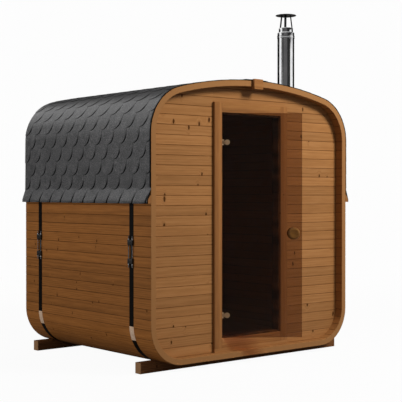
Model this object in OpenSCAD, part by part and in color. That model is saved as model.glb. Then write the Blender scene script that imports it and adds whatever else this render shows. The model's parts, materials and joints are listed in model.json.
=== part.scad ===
// Cube sauna: a rounded tube of wooden staves on two runners, with a glass door
// in the front wall, steel hoops, a shingle roof and an insulated flue.
// Millimetres. +X right, +Y to the back, +Z up. The floor is z = 0 and the
// middle of the front runner stands on the origin.

/* [Tube of staves] */
// Outside width of the tube
tube_w = 2100; // [1900:10:2600]
// Length of the tube, front edge to back edge
tube_l = 1765; // [1500:5:3000]
// Gap between the floor and the underside of the tube
under_gap = 52; // [30:1:78]
// Thickness of a stave
stave_t = 47; // [28:1:60]
// Outside radius of the lower corners
base_r = 300; // [200:10:420]
// Outside radius of the shoulders
shoulder_r = 360; // [260:10:480]
// Outside radius of the crown
crown_r = 3250; // [2600:50:4200]

/* [Runners] */
// Height of a runner
runner_h = 82; // [82:1:140]
// Depth of a runner, front to back
runner_d = 67; // [45:1:120]
// Length of a runner
runner_l = 2100; // [1950:10:2400]
// How far a runner stands in from the end of the tube
runner_in = 127; // [60:1:150]

/* [End walls] */
// How far an end wall is set back inside the tube
wall_in = 75; // [40:1:160]
// Thickness of an end wall
wall_t = 45; // [28:1:60]

/* [Door frame] */
// Clear width between the posts
door_w = 635; // [560:5:800]
// Clear height between sill and head
door_h = 1754; // [1600:1:1780]
// Height of the sill's top above the floor
sill_top = 203; // [190:1:240]
// Face width of the frame members
frame_face = 76; // [50:1:90]
// Height from the top of the frame to the ridge
over_frame = 182; // [120:1:400]
// Depth of the frame members
frame_d = 90; // [70:1:140]
// How far the frame stands proud of the wall
frame_proud = 22; // [10:1:40]
// Width of the rebate's lip behind the glass
lip_w = 12; // [6:1:25]

/* [Glass door] */
// Thickness of the glass
glass_t = 8; // [6:1:12]
// Gap round the glass at the free edge, top and bottom
glass_gap = 5; // [5:0.5:9]
// Gap between the glass and the hinge post
hinge_gap = 9; // [8:0.5:12]
// Gap between the closed glass and the lip
lip_gap = 5; // [5:0.5:10]
// How far the door stands open at rest, in degrees
ajar = 37; // [0:1:80]

/* [Hinges] */
// Distance of the hinge line from the post
pivot_in = 14; // [13:0.5:20]
// Radius of the hinge barrel
barrel_r = 5; // [4:0.5:6]
// Height of the hinge barrel
barrel_h = 24; // [16:1:40]
// Height of the lugs above and below the barrel
lug_h = 10; // [6:1:16]
// Running gap between barrel and lugs
lug_gap = 0.3; // [0.2:0.05:0.6]
// Radius of the round clamp on the glass
clamp_r = 21; // [16:0.5:26]
// Thickness of a clamp plate
clamp_t = 5; // [3:0.5:6]
// Distance from the hinge line to the middle of the clamp
clamp_x = 31; // [28:1:50]
// Height of the lower hinge above the floor
hinge_low = 382; // [300:1:600]
// Height of the upper hinge above the floor
hinge_high = 1724; // [1400:1:1850]
// Radius of the bolts through the glass
bolt_r = 5; // [3:0.5:6]
// Clearance round a bolt in the glass
bolt_gap = 2; // [1:0.5:3]

/* [Knobs] */
// Largest radius of a knob
knob_r = 47; // [30:1:55]
// Depth of a knob, off the glass
knob_d = 38; // [25:1:60]
// Distance from the free edge to the middle of the knob
knob_in = 67; // [60:1:120]
// Height of the knob above the floor
knob_z = 1016; // [850:1:1200]

/* [Hoops] */
// Width of a hoop
hoop_w = 52; // [32:1:60]
// Thickness of a hoop
hoop_t = 1.5; // [0.8:0.1:3]
// Distance from the end of the tube to the middle of a hoop
hoop_in = 238; // [225:1:400]
// Height of the middle of a tensioner above the floor
tension_z = 895; // [700:5:1100]
// Clear distance between the two bars of a tensioner
tension_gap = 100; // [60:5:160]
// Width of a tensioner bar
bar_w = 62; // [50:1:90]
// Height of a tensioner bar
bar_h = 39; // [20:1:60]
// Thickness of a tensioner bar
bar_t = 16; // [12:1:24]
// Radius of a tensioner rod
rod_r = 4; // [3:0.5:5]
// Distance between the two rods of a tensioner
rod_pitch = 46; // [34:1:60]
// How far a rod runs past its bar
rod_end = 30; // [16:1:40]
// Size of a nut across its corners
nut_w = 15; // [12:0.5:18]
// Height of a nut
nut_h = 8; // [5:0.5:10]
// Width of the hoop between the bars
waist_w = 24; // [10:1:28]

/* [Roof covering] */
// Thickness of the shingle covering
shingle_t = 7; // [4:0.5:10]
// Height of the covering's lower edge
eave_z = 1254; // [1100:1:1320]
// Height of the skirt, from the lower edge to where the covering meets the wall
flare_h = 108; // [90:1:180]
// How far the eave batten stands out from the wall
batten_out = 29; // [15:1:45]
// Height of the batten's outer face
batten_face = 30; // [10:1:40]
// Height of the batten at the wall
batten_h = 68; // [50:1:80]
// Width of a ridge block
block_w = 98; // [60:1:140]
// Height of a ridge block
block_h = 80; // [60:1:120]
// Thickness of a ridge block
block_t = 25; // [15:1:40]
// How far a ridge block stands above the ridge
block_up = 13; // [8:1:30]

/* [Flue] */
// Distance of the flue from the right side of the tube
flue_in = 325; // [290:5:550]
// Distance of the flue behind the front edge of the tube
flue_y = 400; // [360:5:900]
// Outside radius of the insulated pipe
flue_r = 72.5; // [60:0.5:90]
// Radius of the passage inside the flue
flue_bore_r = 57.5; // [40:0.5:58]
// Outside radius of the neck
neck_r = 61; // [59:0.5:70]
// How far the pipe hangs below the roof's outside, at the pipe's middle
flue_down = 155; // [120:5:400]
// Height of the pipe's top above the roof, at the pipe's middle
flue_up = 577; // [400:1:800]
// Height of the neck above the pipe
neck_h = 39; // [20:1:60]
// Radius of the locking band
band_r = 75.5; // [74:0.5:95]
// Height of the locking band
band_h = 20; // [12:1:30]
// Distance from the top of the pipe down to the band's middle
band_down = 39; // [20:1:80]
// Radius of the rain cap
cap_r = 89; // [75:1:120]
// Height of the cap's edge above the neck
cap_up = 108; // [60:1:150]
// Height of the cap
cap_h = 17; // [10:1:40]
// Thickness of the cap's sheet
cap_t = 3; // [2:0.5:5]
// Width of a strap under the cap
strap_w = 20; // [8:1:30]
// Thickness of a strap under the cap
strap_t = 2.5; // [1.5:0.5:3]
// How far a strap leans inwards, in degrees
strap_lean = 8; // [0:1:12]
// Outside radius of the roof collar
collar_r = 84; // [76:0.5:95]
// Height of the collar above the roof at the pipe's middle
collar_h = 42; // [30:1:90]
// How far the collar reaches below the roof's outside, at the pipe's middle
collar_down = 95; // [88:1:115]
// Clearance between the collar and the hole in the roof
collar_gap = 0.3; // [0.1:0.1:0.9]

/* [Hidden] */
$fn = 64;
arc_fn = 96;
crown_fn = 480;
over = 1;
head_z = sill_top + door_h;
ridge_h = head_z + frame_face + over_frame;
half_w = tube_w / 2;
base_x = half_w - base_r;
base_z = under_gap + base_r;
shoulder_x = half_w - shoulder_r;
crown_z = ridge_h - crown_r;
shoulder_z = crown_z + sqrt(pow(crown_r - shoulder_r, 2) - pow(shoulder_x, 2));
flare_z = eave_z + flare_h;
crown_a = asin(shoulder_x / (crown_r - shoulder_r));
tube_y = -(runner_in + runner_d / 2);
frame_y = wall_in - frame_proud;
frame_x = door_w / 2 + frame_face;
rebate_d = glass_t + lip_gap;
pivot_x = -door_w / 2 + pivot_in;
pivot_y = frame_y + glass_t / 2;
glass_left = hinge_gap - pivot_in;
glass_w = door_w - hinge_gap - glass_gap;
glass_low = sill_top + glass_gap;
glass_h = door_h - 2 * glass_gap;
knob_x = glass_left + glass_w - knob_in;
notch_w = clamp_x - clamp_r + 2 * over - glass_left;
hinge_zs = [hinge_low, hinge_high];
bar_low_z = tension_z - tension_gap / 2 - bar_h;
bar_high_z = tension_z + tension_gap / 2;
roof_r = crown_r + shingle_t;
flue_x = half_w - flue_in;
roof_z = crown_z + sqrt(pow(roof_r, 2) - pow(flue_x, 2));
flue_low = roof_z - flue_down;
flue_top = roof_z + flue_up;
collar_low = roof_z - collar_down;

// ---- placing ----

// Sets what is drawn from the tube's front edge into the part's own frame.
module in_tube() {
    translate([0, tube_y, 0])
        children();
}

// Runs a flat outline, drawn in X and Z, from y to y + length.
module run(y, length) {
    translate([0, y + length, 0])
        rotate([90, 0, 0])
            linear_extrude(height = length)
                children();
}

module left_side() {
    mirror([1, 0, 0])
        children();
}

// Turns what is drawn from the hinge line, door closed, to the door at rest.
module on_door() {
    in_tube()
        translate([pivot_x, pivot_y, 0])
            rotate([0, 0, -ajar])
                children();
}

// ---- the tube's outline, as bands between two distances off its outside ----

module arc_band(r_in, r_out, a0, a1, sides = arc_fn) {
    far = 2 * r_out;
    am = (a0 + a1) / 2;
    intersection() {
        difference() {
            circle(r = r_out, $fn = sides);
            circle(r = r_in, $fn = sides);
        }
        polygon([
            [0, 0],
            [far * cos(a0), far * sin(a0)],
            [far * cos(am), far * sin(am)],
            [far * cos(a1), far * sin(a1)]
        ]);
    }
}

module floor_band(inner, outer) {
    translate([-base_x, under_gap - outer])
        square([2 * base_x, outer - inner]);
}

module base_band(inner, outer) {
    translate([base_x, base_z])
        arc_band(base_r + inner, base_r + outer, -90, 0);
}

module side_band(inner, outer) {
    translate([half_w + inner, base_z])
        square([outer - inner, shoulder_z - base_z]);
}

module shoulder_band(inner, outer) {
    translate([shoulder_x, shoulder_z])
        arc_band(shoulder_r + inner, shoulder_r + outer, 0, 90 - crown_a);
}

module crown_band(inner, outer) {
    translate([0, crown_z])
        arc_band(crown_r + inner, crown_r + outer, 90 - crown_a, 90, crown_fn);
}

// The whole outline, grown by a distance off the outside.
module tube_outline(grow) {
    top = 1.2 * crown_r;
    for (s = [-1, 1]) {
        translate([s * base_x, base_z])
            circle(r = base_r + grow, $fn = arc_fn);
        translate([s * shoulder_x, shoulder_z])
            circle(r = shoulder_r + grow, $fn = arc_fn);
    }
    translate([-half_w - grow, base_z])
        square([tube_w + 2 * grow, shoulder_z - base_z]);
    translate([-base_x, under_gap - grow])
        square([2 * base_x, shoulder_z - under_gap + grow]);
    intersection() {
        translate([0, crown_z])
            circle(r = crown_r + grow, $fn = crown_fn);
        polygon([
            [-shoulder_x, shoulder_z],
            [shoulder_x, shoulder_z],
            [top * sin(crown_a), crown_z + top * cos(crown_a)],
            [-top * sin(crown_a), crown_z + top * cos(crown_a)]
        ]);
    }
}

// A closed skin round the tube, between two distances off its outside.
module skin(inner, outer) {
    difference() {
        tube_outline(outer);
        tube_outline(inner);
    }
}

// ---- runners ----

module runner(y) {
    difference() {
        in_tube()
            translate([-runner_l / 2, y, 0])
                cube([runner_l, runner_d, runner_h]);
        in_tube()
            run(y - over, runner_d + 2 * over)
                tube_outline(0);
    }
}

module runner_front() {
    color("#4b3527")
        runner(runner_in);
}

module runner_back() {
    color("#4b3527")
        runner(tube_l - runner_in - runner_d);
}

// ---- tube ----

module staves() {
    color("#b98450")
        in_tube()
            run(0, tube_l)
                children();
}

module floor_staves() {
    staves()
        floor_band(-stave_t, 0);
}

module base_corner_right() {
    staves()
        base_band(-stave_t, 0);
}

module base_corner_left() {
    left_side()
        base_corner_right();
}

module side_staves_right() {
    staves()
        side_band(-stave_t, 0);
}

module side_staves_left() {
    left_side()
        side_staves_right();
}

module shoulder() {
    staves()
        shoulder_band(-stave_t, 0);
}

module crown() {
    staves()
        crown_band(-stave_t, 0);
}

module flue_hole() {
    in_tube()
        translate([flue_x, flue_y, flue_low])
            cylinder(r = collar_r + collar_gap, h = flue_top - flue_low);
}

module shoulder_right() {
    difference() {
        shoulder();
        flue_hole();
    }
}

module shoulder_left() {
    left_side()
        shoulder();
}

module crown_right() {
    difference() {
        crown();
        flue_hole();
    }
}

module crown_left() {
    left_side()
        crown();
}

// ---- end walls ----

module front_wall() {
    color("#cfa676")
        in_tube()
            run(wall_in, wall_t)
                intersection() {
                    tube_outline(-stave_t);
                    children();
                }
}

module front_wall_right() {
    front_wall()
        translate([frame_x, 0])
            square([half_w, ridge_h]);
}

module front_wall_left() {
    left_side()
        front_wall_right();
}

module front_wall_head() {
    front_wall()
        translate([-frame_x, head_z + frame_face])
            square([2 * frame_x, ridge_h]);
}

module front_wall_foot() {
    front_wall()
        translate([-frame_x, 0])
            square([2 * frame_x, sill_top - frame_face]);
}

module back_wall() {
    color("#cfa676")
        in_tube()
            run(tube_l - wall_in - wall_t, wall_t)
                tube_outline(-stave_t);
}

// ---- door frame: members with a rebate for the glass ----

// A post runs the full height, its lip only between sill and head.
module frame_post() {
    color("#d3ab7c")
        in_tube()
            translate([frame_x, frame_y, 0])
                mirror([1, 0, 0]) {
                    translate([0, 0, sill_top - frame_face])
                        cube([frame_face, frame_d, door_h + 2 * frame_face]);
                    translate([0, rebate_d, sill_top])
                        cube([frame_face + lip_w, frame_d - rebate_d, door_h]);
                }
}

module door_post_right() {
    frame_post();
}

module door_post_left() {
    left_side()
        frame_post();
}

// A cross member between the posts, its lip up and its outer face at z = 0.
module frame_rail() {
    translate([-door_w / 2, 0, 0])
        cube([door_w, frame_d, frame_face]);
    translate([-door_w / 2 + lip_w, rebate_d, 0])
        cube([door_w - 2 * lip_w, frame_d - rebate_d, frame_face + lip_w]);
}

module door_sill() {
    color("#d3ab7c")
        in_tube()
            translate([0, frame_y, sill_top - frame_face])
                frame_rail();
}

module door_head() {
    color("#d3ab7c")
        in_tube()
            translate([0, frame_y, head_z + frame_face])
                mirror([0, 0, 1])
                    frame_rail();
}

// ---- hinges ----

module hinge_bracket() {
    plate_t = 2;
    lug_low = barrel_h / 2 + lug_gap;
    top = lug_low + lug_h;
    translate([-pivot_in, -barrel_r, -top])
        cube([plate_t, 2 * barrel_r, 2 * top]);
    for (s = [0, 1])
        mirror([0, 0, s])
            translate([0, 0, lug_low]) {
                cylinder(r = barrel_r, h = lug_h);
                translate([-pivot_in, -barrel_r, 0])
                    cube([pivot_in, 2 * barrel_r, lug_h]);
            }
}

module hinge_brackets() {
    color("#b9bcc0")
        in_tube()
            for (z = hinge_zs)
                translate([pivot_x, pivot_y, z])
                    hinge_bracket();
}

module hinge_clamp() {
    face = glass_t / 2;
    translate([0, 0, -barrel_h / 2])
        cylinder(r = barrel_r, h = barrel_h);
    translate([0, -face + 0.5, -barrel_h / 2])
        cube([clamp_x - clamp_r + 1, glass_t - 1, barrel_h]);
    translate([barrel_r + 1, -face - clamp_t, -barrel_h / 2])
        cube([clamp_x - clamp_r + 1 - barrel_r, glass_t + 2 * clamp_t, barrel_h]);
    translate([clamp_x, 0, 0])
        rotate([90, 0, 0]) {
            for (s = [0, 1])
                mirror([0, 0, s])
                    translate([0, 0, face])
                        cylinder(r = clamp_r, h = clamp_t);
            translate([0, 0, -face - over])
                cylinder(r = bolt_r, h = glass_t + 2 * over);
        }
}

module hinge_clamps() {
    color("#b9bcc0")
        on_door()
            for (z = hinge_zs)
                translate([0, 0, z])
                    hinge_clamp();
}

// ---- glass and knobs ----

module bolt_hole(x, z) {
    translate([x, glass_t, z])
        rotate([90, 0, 0])
            cylinder(r = bolt_r + bolt_gap, h = 2 * glass_t);
}

module door_glass() {
    notch_h = barrel_h + 2 * (lug_gap + lug_h + 2);
    color("#6b4a2e", 0.5)
        on_door()
            difference() {
                translate([glass_left, -glass_t / 2, glass_low])
                    cube([glass_w, glass_t, glass_h]);
                for (z = hinge_zs) {
                    translate([glass_left - over, -glass_t, z - notch_h / 2])
                        cube([notch_w + over, 2 * glass_t, notch_h]);
                    bolt_hole(clamp_x, z);
                }
                bolt_hole(knob_x, knob_z);
            }
}

// Half section of a turned knob, from the glass outwards.
module knob_section() {
    polygon([
        [0, 0],
        [0.55 * knob_r, 0],
        [0.62 * knob_r, 0.12 * knob_d],
        [0.94 * knob_r, 0.34 * knob_d],
        [knob_r, 0.52 * knob_d],
        [knob_r, 0.70 * knob_d],
        [0.93 * knob_r, 0.88 * knob_d],
        [0.78 * knob_r, 0.98 * knob_d],
        [0.60 * knob_r, knob_d],
        [0, knob_d]
    ]);
}

module door_knobs() {
    face = glass_t / 2;
    color("#b98450")
        on_door()
            translate([knob_x, 0, knob_z])
                rotate([90, 0, 0]) {
                    for (s = [0, 1])
                        mirror([0, 0, s])
                            translate([0, 0, face])
                                rotate_extrude()
                                    knob_section();
                    translate([0, 0, -face - over])
                        cylinder(r = bolt_r, h = glass_t + 2 * over);
                }
}

// ---- hoops and tensioners ----

module hoop(y) {
    waist_cut = (hoop_w - waist_w) / 2;
    in_tube()
        difference() {
            run(y - hoop_w / 2, hoop_w)
                skin(0, hoop_t);
            for (side = [-1, 1])
                for (edge = [-1, 1])
                    translate([side * half_w, y + edge * (hoop_w - waist_cut) / 2, tension_z])
                        cube([8 * hoop_t, waist_cut, tension_gap], center = true);
        }
}

module hoop_front() {
    color("#1d1d1f")
        hoop(hoop_in);
}

module hoop_back() {
    color("#1d1d1f")
        hoop(tube_l - hoop_in);
}

module tensioner(y) {
    rod_x = half_w + hoop_t + bar_t / 2;
    rod_low = bar_low_z - rod_end;
    rod_l = bar_high_z + bar_h + rod_end - rod_low;
    in_tube() {
        for (z = [bar_low_z, bar_high_z])
            translate([half_w + hoop_t, y - bar_w / 2, z])
                cube([bar_t, bar_w, bar_h]);
        for (edge = [-1, 1])
            translate([rod_x, y + edge * rod_pitch / 2, 0]) {
                translate([0, 0, rod_low])
                    cylinder(r = rod_r, h = rod_l, $fn = 24);
                translate([0, 0, bar_low_z - nut_h])
                    cylinder(d = nut_w, h = nut_h + over, $fn = 6);
                translate([0, 0, bar_high_z + bar_h - over])
                    cylinder(d = nut_w, h = nut_h + over, $fn = 6);
            }
    }
}

module tensioner_front_right() {
    color("#a9adb2")
        tensioner(hoop_in);
}

module tensioner_front_left() {
    left_side()
        tensioner_front_right();
}

module tensioner_back_right() {
    color("#a9adb2")
        tensioner(tube_l - hoop_in);
}

module tensioner_back_left() {
    left_side()
        tensioner_back_right();
}

// ---- roof covering ----

module batten_section() {
    polygon([
        [half_w, eave_z],
        [half_w + batten_out, eave_z],
        [half_w + batten_out, eave_z + batten_face],
        [half_w, eave_z + batten_h]
    ]);
}

module eave_batten_right() {
    color("#cfa676")
        in_tube()
            difference() {
                run(0, tube_l)
                    batten_section();
                hoop_grooves();
            }
}

module eave_batten_left() {
    left_side()
        eave_batten_right();
}

// The room that both hoops take, for what lies over them.
module hoop_grooves() {
    for (y = [hoop_in, tube_l - hoop_in])
        run(y - hoop_w / 2, hoop_w)
            skin(-over, hoop_t);
}

// Section of the skirt that leaves the wall over the batten.
module skirt_section() {
    edge = half_w + batten_out + shingle_t;
    difference() {
        polygon([
            [half_w, eave_z],
            [edge, eave_z],
            [edge, eave_z + batten_face * 0.75],
            [half_w + shingle_t, flare_z],
            [half_w, flare_z]
        ]);
        batten_section();
    }
}

module shingles() {
    color("#58595b")
        in_tube()
            difference() {
                run(0, tube_l) {
                    intersection() {
                        skin(0, shingle_t);
                        translate([0, flare_z])
                            square([half_w + 2 * shingle_t, ridge_h]);
                    }
                    skirt_section();
                }
                hoop_grooves();
            }
}

module shingles_right() {
    difference() {
        shingles();
        flue_hole();
    }
}

module shingles_left() {
    left_side()
        shingles();
}

module ridge_block(y) {
    color("#cfa676")
        in_tube()
            translate([-block_w / 2, y, ridge_h + block_up - block_h])
                cube([block_w, block_t, block_h]);
}

module ridge_block_front() {
    ridge_block(-block_t);
}

module ridge_block_back() {
    ridge_block(tube_l);
}

// ---- flue ----

module on_flue(z) {
    in_tube()
        translate([flue_x, flue_y, z])
            children();
}

module flue_pipe() {
    neck_top = flue_top + neck_h;
    color("#c9ccd0")
        on_flue(0)
            rotate_extrude()
                polygon([
                    [flue_bore_r, flue_low],
                    [flue_r, flue_low],
                    [flue_r, flue_top],
                    [neck_r, flue_top],
                    [neck_r, neck_top],
                    [flue_bore_r, neck_top]
                ]);
}

module flue_band() {
    color("#c9ccd0")
        on_flue(flue_top - band_down - band_h / 2)
            difference() {
                cylinder(r = band_r, h = band_h);
                translate([0, 0, -over])
                    cylinder(r = flue_r, h = band_h + 2 * over);
            }
}

module flue_collar() {
    collar_top = roof_z + collar_h;
    bevel = collar_r - flue_r;
    color("#8d9094")
        on_flue(0)
            rotate_extrude()
                polygon([
                    [flue_r, collar_low],
                    [collar_r, collar_low],
                    [collar_r, collar_top - bevel],
                    [flue_r + 1, collar_top],
                    [flue_r, collar_top]
                ]);
}

module rain_cap() {
    neck_top = flue_top + neck_h;
    strap_r = (neck_r + flue_bore_r) / 2;
    lean_in = cap_up * tan(strap_lean);
    under = cap_up + (cap_h - cap_t) * (1 - (strap_r - lean_in) / cap_r);
    color("#47484b")
        on_flue(neck_top) {
            translate([0, 0, cap_up])
                rotate_extrude()
                    polygon([
                        [0, cap_h - cap_t],
                        [cap_r, 0],
                        [cap_r, cap_t],
                        [0, cap_h]
                    ]);
            for (a = [100, 220, 340])
                rotate([0, 0, a])
                    translate([strap_r, 0, 0])
                        rotate([0, -strap_lean, 0])
                            translate([-strap_t / 2, -strap_w / 2, 0])
                                cube([strap_t, strap_w, under / cos(strap_lean) + cap_t / 2]);
        }
}

// ---- the part, node by node ----

runner_front();
runner_back();
floor_staves();
base_corner_left();
base_corner_right();
side_staves_left();
side_staves_right();
shoulder_left();
shoulder_right();
crown_left();
crown_right();
front_wall_left();
front_wall_right();
front_wall_head();
front_wall_foot();
back_wall();
door_post_left();
door_post_right();
door_head();
door_sill();
hinge_brackets();
door_glass();
hinge_clamps();
door_knobs();
hoop_front();
hoop_back();
tensioner_front_left();
tensioner_front_right();
tensioner_back_left();
tensioner_back_right();
eave_batten_left();
eave_batten_right();
shingles_left();
shingles_right();
ridge_block_front();
ridge_block_back();
flue_pipe();
flue_band();
flue_collar();
rain_cap();
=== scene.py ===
"""Cube sauna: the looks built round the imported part.

Metres. +X right, +Y to the back, +Z up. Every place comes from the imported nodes' boxes.
"""
import json
import math
import random

import bmesh
import bpy
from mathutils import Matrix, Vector


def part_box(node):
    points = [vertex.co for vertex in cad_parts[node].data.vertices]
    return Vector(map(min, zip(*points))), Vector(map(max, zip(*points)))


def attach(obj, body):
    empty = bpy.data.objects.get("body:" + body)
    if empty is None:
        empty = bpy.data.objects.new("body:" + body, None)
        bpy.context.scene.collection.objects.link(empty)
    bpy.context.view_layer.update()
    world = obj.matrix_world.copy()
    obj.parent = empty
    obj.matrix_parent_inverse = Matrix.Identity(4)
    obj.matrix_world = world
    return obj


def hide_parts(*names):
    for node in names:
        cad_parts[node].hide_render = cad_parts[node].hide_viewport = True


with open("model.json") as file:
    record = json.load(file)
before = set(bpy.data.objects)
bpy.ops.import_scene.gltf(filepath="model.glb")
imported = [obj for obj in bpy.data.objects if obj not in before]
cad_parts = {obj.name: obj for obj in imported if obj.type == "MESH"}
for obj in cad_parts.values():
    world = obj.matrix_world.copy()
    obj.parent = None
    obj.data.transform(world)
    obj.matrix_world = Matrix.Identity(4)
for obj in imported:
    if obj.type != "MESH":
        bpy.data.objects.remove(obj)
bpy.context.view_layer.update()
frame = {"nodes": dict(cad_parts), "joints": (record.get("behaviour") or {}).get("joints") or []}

MM = 0.001
HOUSE, DOOR = "house", "door"

# ---- sizes of the tube, read from its nodes ----

FLOOR_LOW, FLOOR_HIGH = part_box("floor_staves")
SIDE_LOW, SIDE_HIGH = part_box("side_staves_right")
FRONT_Y, BACK_Y = SIDE_LOW.y, SIDE_HIGH.y
HALF_W = SIDE_HIGH.x
STAVE_T = SIDE_HIGH.x - SIDE_LOW.x
UNDER_Z = FLOOR_LOW.z
FLOOR_Z = UNDER_Z + STAVE_T
BASE_X = FLOOR_HIGH.x
BASE_R = HALF_W - BASE_X
BASE_Z = UNDER_Z + BASE_R
SHOULDER_R = 360 * MM
SHOULDER_X = HALF_W - SHOULDER_R
SHOULDER_Z = SIDE_HIGH.z
RIDGE_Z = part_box("crown_left")[1].z
RISE = RIDGE_Z - SHOULDER_Z
CROWN_R = (SHOULDER_X ** 2 + RISE ** 2 - SHOULDER_R ** 2) / (2 * (RISE - SHOULDER_R))
CROWN_Z = RIDGE_Z - CROWN_R
CROWN_A = math.asin(SHOULDER_X / (CROWN_R - SHOULDER_R))

# Distance round the outline from the middle of the floor to the end of each stretch.
END_FLOOR = BASE_X
END_BASE = END_FLOOR + BASE_R * math.pi / 2
END_SIDE = END_BASE + SHOULDER_Z - BASE_Z
END_SHOULDER = END_SIDE + SHOULDER_R * (math.pi / 2 - CROWN_A)
END_CROWN = END_SHOULDER + CROWN_R * CROWN_A

BOARD = 75.8 * MM
GROOVE = 2.6 * MM
SEAM_GAP = 0.1 * MM


def outline(s):
    """A point of the tube's right half, s round from the middle of the floor, and the way out."""
    if s < END_FLOOR:
        return s, UNDER_Z, 0.0, -1.0
    if s < END_BASE:
        x, z, r, a = BASE_X, BASE_Z, BASE_R, (s - END_FLOOR) / BASE_R - math.pi / 2
    elif s < END_SIDE:
        return HALF_W, BASE_Z + s - END_BASE, 1.0, 0.0
    elif s < END_SHOULDER:
        x, z, r, a = SHOULDER_X, SHOULDER_Z, SHOULDER_R, (s - END_SIDE) / SHOULDER_R
    else:
        x, z, r, a = 0.0, CROWN_Z, CROWN_R, math.pi / 2 - CROWN_A + (s - END_SHOULDER) / CROWN_R
    return x + r * math.cos(a), z + r * math.sin(a), math.cos(a), math.sin(a)


def on_tube(s, y, out=0.0, side=1):
    """The place s round the outline and y along the tube, moved out along the outline's normal."""
    x, z, nx, nz = outline(s)
    return Vector((side * (x + nx * out), y, z + nz * out))


def inner_half_width(z):
    """Half of the room's width at height z."""
    shoulder = SHOULDER_R - STAVE_T
    if BASE_Z <= z < SHOULDER_Z:
        return HALF_W - STAVE_T
    if z < BASE_Z:
        x, middle, r = BASE_X, BASE_Z, BASE_R - STAVE_T
    elif z - SHOULDER_Z < shoulder * math.cos(CROWN_A):
        x, middle, r = SHOULDER_X, SHOULDER_Z, shoulder
    else:
        x, middle, r = 0.0, CROWN_Z, CROWN_R - STAVE_T
    return x + math.sqrt(max(r * r - (z - middle) ** 2, 0.0))


# ---- meshes ----

def stand(name, data):
    """Puts a mesh, lamp or camera into the scene."""
    made = bpy.data.objects.new(name, data)
    bpy.context.scene.collection.objects.link(made)
    return made


def new_mesh(name, points, faces):
    made = bpy.data.meshes.new(name)
    made.from_pydata(points, [], faces)
    return made


def with_normals_out(mesh):
    made = bmesh.new()
    made.from_mesh(mesh)
    bmesh.ops.recalc_face_normals(made, faces=made.faces)
    made.to_mesh(mesh)
    made.free()


class Pile:
    """Collects closed solids. Each point keeps its place in the timber and the look of its edge."""

    def __init__(self):
        self.points, self.faces, self.grain, self.look = [], [], [], []

    def point(self, place, grain=(0, 0, 0), look=(0.5, 0, 0)):
        """Adds a point. Its look is the tone of its board, how dark its edge is (also painted shade
        and shadow), how sawn it is (also painted light).
        """
        self.points.append(tuple(place))
        self.grain.append(tuple(grain))
        self.look.append(tuple(look))
        return len(self.points) - 1

    def loft(self, rings, tone=0.5, ring_shut=False, end_grain=False, inside=0.0):
        """Joins rings of (place, grain, seam), each an outer chain, then the inner chain back."""
        first, count, last = len(self.points), len(rings[0]), len(rings) - 1
        for n, ring in enumerate(rings):
            sawn = end_grain and n in (0, last)
            for k, (place, grain, seam) in enumerate(ring):
                # Painted light: inner faces take a share of the sawn colour, which draws them
                # paler.
                pale_share = inside if k >= count // 2 else 0
                self.point(place, grain, (0.5, seam, 1) if sawn else (tone, seam, pale_share))
        for n in range(last + ring_shut):
            low, high = first + n * count, first + (n + 1) % len(rings) * count
            for k in range(count):
                m = (k + 1) % count
                self.faces.append((low + k, low + m, high + m, high + k))
        if not ring_shut:
            for start, flip in ((first, 1), (first + last * count, -1)):
                for k in range(count // 2 - 1):
                    quad = (start + k, start + k + 1, start + count - 2 - k, start + count - 1 - k)
                    self.faces.append(quad[::-flip])

    def turn(self, profile, place, steps=64, shut=False, start=Vector()):
        """Turns a profile of (radius, height) round an axis, which place puts into the part."""
        rings = []
        for r, h in profile:
            ring = []
            for k in range(steps if r else 1):
                a = 2 * math.pi * k / steps
                x, y = r * math.cos(a), r * math.sin(a)
                ring.append(self.point(place(x, y, h), start + Vector((x, y, h))))
            rings.append(ring)
        for low, high in zip(rings, rings[1:] + rings[:1] if shut else rings[1:]):
            for k in range(steps):
                m = (k + 1) % steps
                if len(low) == 1:
                    self.faces.append((low[0], high[m], high[k]))
                elif len(high) == 1:
                    self.faces.append((low[k], low[m], high[0]))
                else:
                    self.faces.append((low[k], low[m], high[m], high[k]))

    def sheet(self, top, under):
        """Closes a thin sheet between the two grids of points on its faces."""
        last = len(top[0]) - 1
        for n in range(len(top) - 1):
            for k in range(last):
                self.faces.append((top[n][k], top[n][k + 1], top[n + 1][k + 1], top[n + 1][k]))
                self.faces.append((under[n][k], under[n + 1][k], under[n + 1][k + 1],
                                   under[n][k + 1]))
            for k in (0, last):
                self.faces.append((top[n][k], top[n + 1][k], under[n + 1][k], under[n][k]))
        for n in (0, len(top) - 1):
            for k in range(last):
                self.faces.append((top[n][k], top[n][k + 1], under[n][k + 1], under[n][k]))

    def take(self, mesh):
        """Adds a finished mesh, with its places and looks."""
        first = len(self.points)
        grain, look = mesh.attributes["grain"].data, mesh.attributes["look"].data
        for spot, place, edge in zip(mesh.vertices, grain, look):
            self.point(spot.co, place.vector, edge.vector)
        for face in mesh.polygons:
            self.faces.append(tuple(first + k for k in face.vertices))

    def mesh(self, name):
        made = new_mesh(name, self.points, self.faces)
        for label, values in (("grain", self.grain), ("look", self.look)):
            layer = made.attributes.new(label, "FLOAT_VECTOR", "POINT")
            layer.data.foreach_set("vector", [v for value in values for v in value])
        made.validate()
        with_normals_out(made)
        return made

    def piece(self, name, material, slot, *nodes, body=HOUSE, smooth=30):
        """Makes the piece, gives it its finish and its body, and lets it stand for the nodes."""
        mesh = self.mesh(name)
        obj = stand(name, mesh)
        mesh.shade_smooth()
        mesh.set_sharp_from_angle(angle=math.radians(smooth))
        mesh.materials.append(material)
        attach(obj, body)
        if nodes:
            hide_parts(*nodes)
        return obj


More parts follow.
